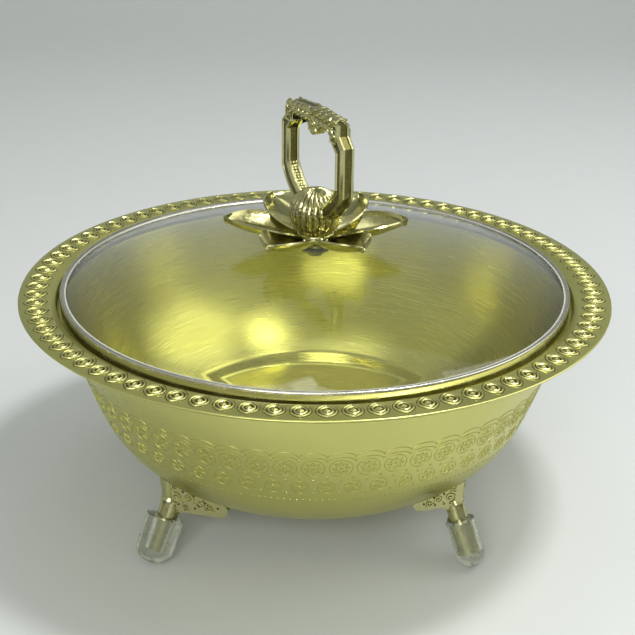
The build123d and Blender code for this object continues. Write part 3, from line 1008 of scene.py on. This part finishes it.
@dataclass
class Handle:
    """Lotus flower, ribbed ball and ornaments of the loop. Sizes in millimetres, angles in degrees."""

    petals: int = 6
    petal_length: float = 54.0
    petal_width: float = 34.0
    petal_rise: float = 9.0
    hub: float = 8.0
    ball_radius: float = 15.0
    ribs: int = 24
    collar: float = 9.6
    loop_turn: float = 62.0
    loop_thickness: float = 8.5
    loop_bar: float = 8.6
    half_width: float = 37.3
    leg_bottom: float = 18.8
    shoulder: float = 5.8
    leg_top: float = 47.3
    block_height: float = 6.5
    crown: float = 62.6
    channel: float = 0.7
    pendant_height: float = 53.0
    foot: float = field(init=False)
    centre: float = field(init=False)

    def __post_init__(self) -> None:
        """Read the heights of the stack from the frame."""
        self.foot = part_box("handle_flower")[0].z / MM
        self.centre = (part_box("handle_ball")[0].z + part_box("handle_ball")[1].z) / 2 / MM

    def petal(self) -> Mesh:
        """One cupped petal along +X with a raised rim and a curled tip bead."""
        bm = bmesh.new()
        bmesh.ops.create_grid(bm, x_segments=22, y_segments=16, size=1.0)
        reach = self.petal_length - self.hub

        def cup(spot: Vector) -> Vector:
            """Bend the flat grid into a petal."""
            s, t = (spot.x + 1) / 2, spot.y
            wide = math.sin(math.pi * min(1.0, 0.16 + 0.84 * s)) ** 0.62
            half = self.petal_width / 2 * max(wide, 0.04)
            rim = max(0.0, (abs(t) - 0.84) / 0.16)
            lift = self.petal_rise * s**1.25 - 2.2 * math.sin(math.pi * s)
            cupped = 8.0 * abs(t) ** 2.0 * math.sin(math.pi * (0.12 + 0.8 * s))
            crest = 0.8 * math.sin(math.pi * min(1.0, rim) * 0.5) + 0.5 * max(0.0, (s - 0.93) / 0.07)
            vein = 0.35 * math.cos(9 * t) * math.sin(math.pi * s)
            return Vector(((self.hub + reach * s) * MM, half * t * MM,
                           (self.foot + 0.9 + lift + cupped + crest + vein) * MM))

        move_points(bm, cup)
        bmesh.ops.recalc_face_normals(bm, faces=bm.faces)
        bmesh.ops.solidify(bm, geom=bm.faces[:], thickness=1.1 * MM)
        tip = shift((self.petal_length - 1.9) * MM, 0, (self.foot + self.petal_rise + 1.1) * MM)
        bmesh.ops.create_uvsphere(bm, u_segments=12, v_segments=8, radius=1.8 * MM, matrix=tip)
        return bm

    def flower(self) -> Mesh:
        """All the petals, with beads where they meet, on a ring of sepals."""
        bm = self.petal()
        for out, size, turn in ((17.0, 1.7, 30.0), (21.0, 1.3, 30.0), (12.5, 2.0, 30.0), (12.5, 1.7, 0.0)):
            around = math.radians(turn)
            spot = Vector((out * math.cos(around), out * math.sin(around), self.foot + 2.2)) * MM
            bmesh.ops.create_uvsphere(bm, u_segments=10, v_segments=7, radius=size * MM, matrix=shift(*spot))
        repeat_round(bm, self.petals)
        bmesh.ops.recalc_face_normals(bm, faces=bm.faces)
        return bm

    def ball(self) -> Mesh:
        """Ribbed ball, grainy between its ribs, on a turned collar and neck."""
        bm = bmesh.new()
        bmesh.ops.create_uvsphere(bm, u_segments=192, v_segments=56, radius=1.0)

        def rib(spot: Vector) -> Vector:
            """Press wavy ribs from pole to pole."""
            around = math.atan2(spot.y, spot.x)
            level = math.sqrt(max(0.0, 1 - spot.z**2))
            wave = 0.25 * math.sin(9 * spot.z)
            crest = abs(math.cos((self.ribs / 2) * around + wave)) ** 0.7
            grain = 0.35 * noise.noise(spot * 11)
            size = self.ball_radius - 0.6 + level * (1.4 * crest) + grain * level
            return Vector((spot.x * size, spot.y * size, self.centre + spot.z * size)) * MM

        move_points(bm, rib)
        low = self.centre - self.ball_radius
        neck = [(0.0, low), (self.collar - 1.5, low), (self.collar + 0.6, low + 0.3),
                (self.collar + 1.8, low + 1.6), (self.collar + 1.2, low + 2.9),
                (self.collar - 0.4, low + 3.4), (0.0, low + 3.4)]
        collar = lathe(soften(neck, 0.5, 3), 64)
        mesh = bpy.data.meshes.new("neck")
        collar.to_mesh(mesh)
        collar.free()
        bm.from_mesh(mesh)
        bpy.data.meshes.remove(mesh)
        return bm

    def turned(self, bm: Mesh) -> Mesh:
        """Carry a mesh from the loop's own frame, in millimetres, to the dish frame.

        Args:
            bm: Mesh with X across the loop, Y through it and Z up from the ball centre.

        Returns:
            The same mesh, in metres.
        """
        place = shift(0, 0, self.centre) @ swing(-math.radians(self.loop_turn), "Z")
        bm.transform(Matrix.Diagonal((MM, MM, MM, 1)) @ place)
        bmesh.ops.recalc_face_normals(bm, faces=bm.faces)
        return bm

    def loop_outline(self) -> list[Point]:
        """Outline of the whole loop, from one stub inside the ball round to the other and back."""
        inner = self.half_width - self.loop_bar
        inner_step = inner - self.shoulder
        step = self.half_width - self.shoulder
        shoulder = self.leg_top + self.shoulder
        kink = self.loop_bar / 2
        block = shoulder + self.block_height
        under = self.crown - self.loop_bar
        outside = bend((6.0, -kink), (0.68 * self.half_width, 5.2), (self.half_width, self.leg_bottom))
        outside += [(self.half_width, self.leg_top), (step, shoulder)]
        outside += bend((step, block), (0.6 * step, self.crown - 1.0), (0.0, self.crown))
        inside = bend((0.0, under), (0.6 * inner_step, under - 1.0), (inner_step, block - kink))
        inside += [(inner_step, shoulder - kink), (inner, self.leg_top - kink)]
        inside += bend((inner, self.leg_bottom + kink), (0.68 * inner, 12.4), (6.0, kink))
        mirrored = [(-x, z) for x, z in outside[-2::-1]] + [(-x, z) for x, z in inside[::-1]]
        return outside + mirrored + inside[1:]

    def loop(self) -> Mesh:
        """The cast loop: chamfered bars with a shallow channel down each side, and the hanging disc."""
        bm = bmesh.new()
        front = [bm.verts.new((x, -self.loop_thickness / 2, z)) for x, z in self.loop_outline()]
        face = bm.faces.new(front)
        made = bmesh.ops.extrude_face_region(bm, geom=[face])["geom"]
        back = [item for item in made if isinstance(item, Vert)]
        bmesh.ops.translate(bm, verts=back, vec=(0, self.loop_thickness, 0))
        bmesh.ops.recalc_face_normals(bm, faces=bm.faces)
        sharp = [edge for edge in bm.edges if abs(edge.verts[0].co.y - edge.verts[1].co.y) < 1e-4]
        bmesh.ops.bevel(bm, geom=sharp, offset=1.1, offset_type="OFFSET", segments=1, profile=0.5,
                        affect="EDGES", material=-1)
        sides = [[face for face in bm.faces if face.normal.y * side > 0.99] for side in (-1, 1)]
        sides.append([face for face in bm.faces if abs(face.normal.y) < 0.1])
        for flat in sides:
            bmesh.ops.inset_region(bm, faces=flat, thickness=1.0, depth=0.0, use_even_offset=True)
            bmesh.ops.inset_region(bm, faces=flat, thickness=0.4, depth=-self.channel, use_even_offset=True)
            # Channel floors take the second material, the painted channel shade.
            for face in flat:
                face.material_index = 1
        turn = shift(0, 0, self.pendant_height) @ swing(math.pi / 2, "X")
        bmesh.ops.create_cone(bm, cap_ends=True, segments=28, radius1=6.3, radius2=6.3,
                              depth=self.loop_thickness - 3.0, matrix=turn)
        return self.turned(bm)

    def grit(self, bm: Mesh, path: list[Point], flip: int) -> None:
        """Fill the upper channel of a stub with cast grains.

        Args:
            bm: Mesh that receives the grains.
            path: The upper edge of the stub, from the bar to the ball.
            flip: 1 for the right stub, -1 for the left.
        """
        for (x0, z0), (x1, z1) in zip(path, path[1:]):
            along = Vector((x1 - x0, z1 - z0)).normalized()

            def place(ahead: float, across: float, lift: float) -> Vector:
                """Put a point in the channel."""
                reach = lift - self.channel
                return Vector(((x0 + along.x * ahead + along.y * reach) * flip, across,
                               z0 + along.y * ahead - along.x * reach))

            for lane in (-1.7, 0.0, 1.7):
                shift = 0.7 * noise.noise(Vector((x0, lane * 5, z0)))
                pip(bm, place, (shift, lane + shift), 0.95 + 0.3 * shift, 1.1, 6)

    def leaves(self, bm: Mesh, path: list[Point], size: Point, flip: int = 1) -> None:
        """Lay overlapping leaves along a bar of the loop, on both faces and on its outer edge.

        Args:
            bm: Mesh that receives the leaves.
            path: Middle of the bar, as points (across, up).
            size: Length and width of a leaf.
            flip: 1 for the right half of the loop, -1 for the left.
        """
        for (x0, z0), (x1, z1) in zip(path, path[1:]):
            heading = math.atan2(z1 - z0, (x1 - x0) * flip)
            along = shift((x0 + x1) / 2 * flip, 0, (z0 + z1) / 2) @ swing(-heading, "Y")
            wobble = 0.3 * math.sin(x0)
            for side in (-1, 1):
                face = along @ shift(0, side * (self.loop_thickness / 2 - 0.9))
                face = face @ swing(-side * math.pi / 2, "X")
                for lean in (-1, 1):
                    spread = shift(0, lean * self.loop_bar * 0.24) @ swing(lean * (0.6 + wobble), "Z")
                    leaf(bm, face @ spread, size[0], size[1], 2.4)
            edge = along @ shift(0, 0, self.loop_bar / 2 - 0.75)
            for lean in (-1, 1):
                spread = shift(0, lean * 2.1) @ swing(lean * (0.4 + wobble), "Z")
                leaf(bm, edge @ spread, size[0], size[1], 1.5)

    def ornament(self) -> Mesh:
        """Cast leaves on the arch and stubs, framed blocks and the hanging rosette."""
        bm = bmesh.new()
        step = self.half_width - self.shoulder
        middle = self.loop_bar / 2
        reaches = [k * step * 0.86 / 5 for k in range(6)]
        arch = [(reach, self.crown - middle - 2.2 * (reach / step) ** 2) for reach in reaches]
        inner = self.half_width - self.loop_bar
        stub = bend((inner, self.leg_bottom + middle - 1.0), (0.68 * inner, 12.4), (10.0, 5.8), 14)
        for flip in (1, -1):
            self.leaves(bm, arch, (8.6, 4.6), flip)
            self.grit(bm, stub, flip)
            self.block(bm, (step - middle) * flip, self.crown - self.loop_bar - 1.4)
        for side in (-1, 1):
            face = shift(0, side * (self.loop_thickness / 2 - 1.6), self.pendant_height)
            face = face @ swing(-side * math.pi / 2, "X")
            for k in range(8):
                spoke = swing(TURN * k / 8, "Z") @ shift(3.9, 0)
                leaf(bm, face @ spoke, 5.4, 3.2, 1.4)
            leaf(bm, face, 4.0, 4.0, 2.0)
        return self.turned(bm)

    def block(self, bm: Mesh, across: float, up: float) -> None:
        """Add a framed panel to both faces of a shoulder block.

        Args:
            bm: Mesh that receives the panels.
            across: Middle of the block, across the loop.
            up: Middle of the block, above the ball centre.
        """
        for side in (-1, 1):
            place = shift(across, side * (self.loop_thickness / 2 - 0.1), up)
            panel = place @ Matrix.Diagonal((7.0, 1.2, 8.2, 1))
            made = bmesh.ops.create_cube(bm, size=1.0, matrix=panel)["verts"]
            faces = {face for vert in made for face in vert.link_faces}
            proud = self.loop_thickness / 2 + 0.3
            outer = [face for face in faces if face.calc_center_median().y * side > proud]
            bmesh.ops.inset_region(bm, faces=outer, thickness=1.2, depth=0.0)
            bmesh.ops.inset_region(bm, faces=outer, thickness=0.3, depth=-0.6)
            leaf(bm, place @ swing(-side * math.pi / 2, "X"), 4.0, 4.0, 1.3)

    def build(self) -> None:
        """Make and dress the handle."""
        cast = CastPlate()
        Piece("lotus_flower", Body.LID, Slot.CASTING, cast, ("handle_flower",), 50).finish_mesh(self.flower())
        Piece("ribbed_ball", Body.LID, Slot.CASTING, cast, ("handle_ball",), 60).finish_mesh(self.ball())
        Piece("loop_ornament", Body.LID, Slot.CASTING, cast, crease=40).finish_mesh(self.ornament())
        # The second finish paints shade into the channels of the loop.
        Piece("fluted_loop", Body.LID, Slot.CASTING, cast, ("handle_loop",), 25,
              CastChannelShade()).finish_mesh(self.loop())
        dress_node("handle_base", cast)


# ---------------------------------------------------------------- legs


@dataclass
class LegScrolls:
    """Raised scrolls and piercings on the wings of the cast legs. Sizes in millimetres, angles in degrees."""

    ridge: float = 120.0
    sweep: float = 35.0
    first: float = -45.0
    legs: int = 4

    def wing_point(self, hand: int) -> Placer:
        """Give the tool that puts a drawing on one wing.

        Args:
            hand: 1 for the long wing, -1 for the short one.

        Returns:
            A function of distance from the ridge, height and lift.
        """
        back = math.radians(self.sweep)
        turn = Matrix.Rotation(math.radians(self.first), 3, "Z")

        def place(along: float, up: float, lift: float) -> Vector:
            """Put one point on the wing."""
            x = self.ridge - along * math.sin(back) + lift * math.cos(back)
            y = hand * (along * math.cos(back) + lift * math.sin(back))
            return turn @ (Vector((x, y, up)) * MM)

        return place

    def spiral(self, centre: Point, size: float, start: float, hand: int = 1) -> list[Point]:
        """Path of a scroll that winds inwards.

        Args:
            centre: Centre of the scroll.
            size: Its outer radius.
            start: Angle of its outer end.
            hand: 1 to wind anticlockwise, -1 clockwise.

        Returns:
            Points from the outside in.
        """
        return [polar(centre, size * (1 - k / 17), math.radians(start) + hand * k * 0.62) for k in range(15)]

    def scrolls(self) -> Mesh:
        """Scrolls, buds and beads of all the legs."""
        bm = bmesh.new()
        drawings = {
            1: (((5.2, 46.8), 2.0), ((7.5, 40.0), 4.0), ((14.8, 39.6), 3.2), ((21.2, 36.8), 2.8),
                ((27.0, 34.6), 2.2), ((5.0, 32.6), 2.6), ((12.2, 33.6), 2.0)),
            -1: (((4.6, 47.2), 2.2), ((7.2, 41.6), 3.6), ((13.6, 40.6), 2.8), ((18.8, 38.6), 2.0),
                 ((4.0, 35.6), 2.2)),
        }
        for hand, scrolls in drawings.items():
            place = self.wing_point(hand)
            for index, (centre, size) in enumerate(scrolls):
                path = self.spiral(centre, size, 200 + 70 * index, 1 - 2 * (index % 2))
                raised_line(bm, place, path, 1.1, 0.8)
                pip(bm, place, centre, size * 0.3, 0.9)
                pip(bm, place, (centre[0] + size, centre[1] - size * 0.9), 0.7, 0.7)
        repeat_round(bm, self.legs)
        bmesh.ops.recalc_face_normals(bm, faces=bm.faces)
        return bm

    def piercings(self) -> Mesh:
        """Small dark discs between the scrolls: painted shade that stands in for holes."""
        bm = bmesh.new()
        holes = {1: ((11.4, 43.6), (18.2, 33.4), (17.8, 41.8), (24.6, 33.6), (24.4, 37.6), (31.6, 35.0),
                     (8.6, 35.2)),
                 -1: ((10.6, 44.0), (10.4, 37.6), (16.4, 42.0), (15.6, 37.2), (22.2, 38.4), (6.8, 37.6))}
        for hand, spots in holes.items():
            for spot in spots:
                pip(bm, self.wing_point(hand), spot, 0.85, 0.12, 8)
        repeat_round(bm, self.legs)
        bmesh.ops.recalc_face_normals(bm, faces=bm.faces)
        return bm

    def build(self) -> None:
        """Make and dress the ornament of the legs."""
        Piece("leg_scrolls", Body.STAND, Slot.CASTING, CastPlate()).finish_mesh(self.scrolls())
        # The piercings are raised discs painted with shade, not real holes.
        Piece("leg_piercings", Body.STAND, Slot.CASTING, HoleShadeDisc()).finish_mesh(self.piercings())


# ---------------------------------------------------------------- plain CAD pieces


def dress_node(name: str, finish: Finish) -> None:
    """Give a CAD node its finish.

    Args:
        name: The node.
        finish: What it is made of.
    """
    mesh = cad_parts[name].data
    mesh.materials.clear()
    mesh.materials.append(finish.make())
    LOG.info("%s: dressed in %s", name, finish.name)


# ---------------------------------------------------------------- studio


@dataclass
class Studio:
    """Pale sweep, soft lights and the camera. Lengths in metres, angles in degrees."""

    focal_px: float = 1240.0
    frame_px: float = 635.0
    distance: float = 0.743
    elevation: float = 22.41
    yaw: float = 0.14
    pitch: float = 1.70
    roll: float = 0.68

    def camera(self) -> None:
        """Place the camera at the front, looking down on the rim."""
        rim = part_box("outer_bowl")[1].z
        up_tilt = math.radians(self.elevation)
        look = math.radians(self.elevation + self.pitch)
        yaw = math.radians(self.yaw)
        place = Vector((0, -self.distance * math.cos(up_tilt), self.distance * math.sin(up_tilt) + rim))
        ahead = Vector((math.sin(yaw) * math.cos(look), math.cos(yaw) * math.cos(look), -math.sin(look)))
        right = Vector((math.cos(yaw), -math.sin(yaw), 0))
        upward = right.cross(ahead)
        turn = Matrix((right, upward, -ahead)).transposed() @ Matrix.Rotation(math.radians(self.roll), 3, "Z")
        lens = bpy.data.cameras.new("camera")
        lens.sensor_width = 36.0
        lens.lens = self.focal_px * lens.sensor_width / self.frame_px
        eye = bpy.data.objects.new("camera", lens)
        eye.matrix_world = Matrix.Translation(place) @ turn.to_4x4()
        bpy.context.scene.collection.objects.link(eye)
        bpy.context.scene.camera = eye

    def softbox(self, name: str, place: Vector, aim: Vector, size: Point, power: float) -> None:
        """Hang a soft rectangular light.

        Args:
            name: Name of the light.
            place: Its centre.
            aim: Point that it faces.
            size: Its width and height.
            power: Power in watts.
        """
        lamp = bpy.data.lights.new(name, "AREA")
        lamp.shape = "RECTANGLE"
        lamp.size, lamp.size_y = size
        lamp.energy = power
        holder = bpy.data.objects.new(name, lamp)
        turn = (aim - place).to_track_quat("-Z", "Y").to_matrix().to_4x4()
        holder.matrix_world = Matrix.Translation(place) @ turn
        holder.visible_camera = False
        bpy.context.scene.collection.objects.link(holder)

    def sweep(self) -> None:
        """Lay the table and curve it up into the backdrop."""
        bm = bmesh.new()
        outline = soften([(-3.0, 0.0), (2.2, 0.0), (2.2, 3.0)], 0.9, 12)
        verts = [bm.verts.new((-4.0, y, z)) for y, z in outline]
        edges = [bm.edges.new(pair) for pair in zip(verts, verts[1:])]
        wide = bmesh.ops.extrude_edge_only(bm, edges=edges)["geom"]
        bmesh.ops.translate(bm, verts=[v for v in wide if isinstance(v, Vert)], vec=(8.0, 0, 0))
        bmesh.ops.recalc_face_normals(bm, faces=bm.faces)
        make_object("table_sweep", bm, PaleTable())

    def room(self) -> None:
        """Set the soft light of the room: bright overhead, dimmer round the walls."""
        world = bpy.data.worlds.new("room")
        bpy.context.scene.world = world
        world.use_nodes = True
        tree = world.node_tree
        way = add_node(tree, "ShaderNodeTexCoord").outputs["Generated"]
        height = add_node(tree, "ShaderNodeSeparateXYZ", {"Vector": way}).outputs["Z"]
        shade = add_node(tree, "ShaderNodeValToRGB", {"Fac": height})
        stops = shade.color_ramp.elements
        stops[0].position, stops[0].color = 0.0, linear("#565A54")
        stops[1].position, stops[1].color = 0.95, linear("#A4A7A4")
        stops.new(0.3).color = linear("#D2D5D2")
        feed(tree.nodes["Background"], {"Color": shade.outputs["Color"], "Strength": 1.08})

    def light(self) -> None:
        """Hang the soft lights."""
        centre = Vector((0, 0, 0.12))
        self.softbox("key_right", Vector((0.42, -0.05, 1.5)), centre, (0.25, 0.25), 13)
        self.softbox("high_back", Vector((-0.25, 0.45, 1.9)), centre, (0.8, 0.5), 2.5)
        self.softbox("right_wall", Vector((1.05, 0.3, 1.15)), centre, (1.3, 1.0), 7)
        self.softbox("front_fill", Vector((-0.3, -1.5, 0.9)), centre, (0.9, 0.6), 13)

    def build(self) -> None:
        """Set up the whole studio."""
        self.sweep()
        self.room()
        self.light()
        bpy.context.scene.view_settings.view_transform = "Standard"
        self.camera()


def main() -> None:
    """Build every sub-assembly in order, then the studio."""
    logging.basicConfig(level=logging.INFO, format="%(message)s")
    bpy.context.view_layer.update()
    OuterBowl().build()
    FoodPan().build()
    GlassLid().build()
    for name in ("lid_seal", "handle_top_gasket", "handle_bottom_gasket", "leg_seal_washers"):
        dress_node(name, Silicone())
    for name in ("handle_washer", "handle_screw", "leg_screws"):
        dress_node(name, ZincSteel())
    Handle().build()
    LegScrolls().build()
    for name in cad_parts:
        if name.startswith("leg_") and name not in ("leg_screws", "leg_seal_washers"):
            dress_node(name, CastPlate())
        if name.startswith("foot_cap_"):
            dress_node(name, ClearPlastic())
    Studio().build()


if __name__ == "__main__":
    main()
